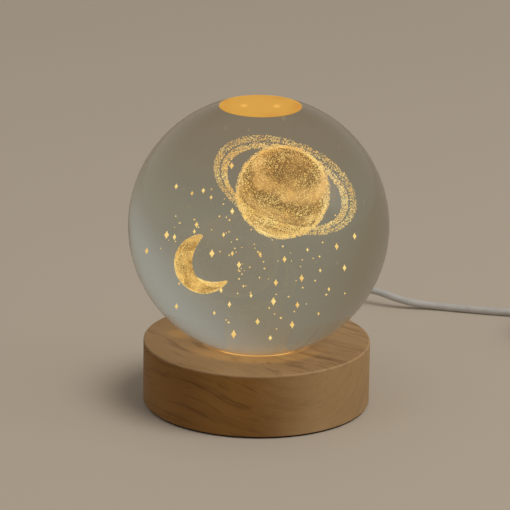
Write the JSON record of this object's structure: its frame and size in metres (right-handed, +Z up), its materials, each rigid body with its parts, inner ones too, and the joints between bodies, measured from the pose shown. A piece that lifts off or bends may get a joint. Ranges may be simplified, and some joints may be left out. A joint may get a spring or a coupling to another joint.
{
  "type": "crystal ball lamp",
  "caption": "Clear glass ball with a glowing engraved design, standing in a round wooden base with lamps inside, on a white lead with a rocker switch and a plug.",
  "frame": {"origin": "centre of the underside of the foot pad, on the table", "axes": "+Z up through the ball's middle, -Y to the front, +Y to the side where the lead leaves, +X to the right seen from the front"},
  "size_m": [0.1755, 0.1636, 0.0947],
  "materials": {
    "crystal": "polished",
    "engraving": "fine white specks inside the glass, lit warm from below",
    "wood": "turned and sanded smooth, clear satin lacquer",
    "window": "clear acrylic, lightly frosted",
    "board": "white circuit board",
    "lamp_chip": "pale case with yellow phosphor",
    "black_plastic": "matt",
    "red_plastic": "satin",
    "steel": "zinc plated",
    "dark_steel": "blackened",
    "cord": "soft white jacket",
    "white_plastic": "fine moulded texture",
    "white_gloss": "moulded, glossy",
    "white_rubber": "soft moulded",
    "pad_rubber": "closed-cell foam, matt",
    "tie_strap": "woven hook-and-loop strap",
    "brass": "bright",
    "nickel": "nickel plated, satin"
  },
  "bodies": {
    "base": {"wood_base": "wood", "light_window": "window", "led_board": "board", "led_chips": "lamp_chip", "resistors": "black_plastic", "board_screws": "steel", "solder_joints": "steel", "red_wire": "red_plastic", "black_wire": "black_plastic", "cord_inner": "cord", "cord_stop": "white_plastic", "cord_gland": "white_rubber", "base_cover": "black_plastic", "cover_screws": "dark_steel", "foot_pad": "pad_rubber", "cord_lead": "cord", "cord_coil": "cord", "cord_tie": "tie_strap", "cord_run": "cord", "switch_lower_shell": "white_plastic", "switch_upper_shell": "white_plastic", "switch_contacts": "brass", "switch_leads": "cord", "switch_screws": "steel", "cord_tail": "cord", "plug_grip": "white_rubber", "plug_shell": "nickel", "plug_tongue": "black_plastic", "plug_contacts": "brass"},
    "ball": {"crystal_ball": "crystal", "engraved_planet": "engraving", "engraved_crescent": "engraving", "engraved_stars": "engraving"},
    "rocker": {"switch_rocker": "white_gloss"}
  },
  "joints": [
    {"name": "ball_lift", "type": "slide", "parent": "base", "child": "ball", "axis": [0, 0, 1], "range_m": [0, 0.1]},
    {"name": "rocker_tilt", "type": "hinge", "parent": "base", "child": "rocker", "pos_m": [0.128, -0.02, 0.0092], "axis": [1, 0, 0], "range_deg": [-16, 0]}
  ]
}
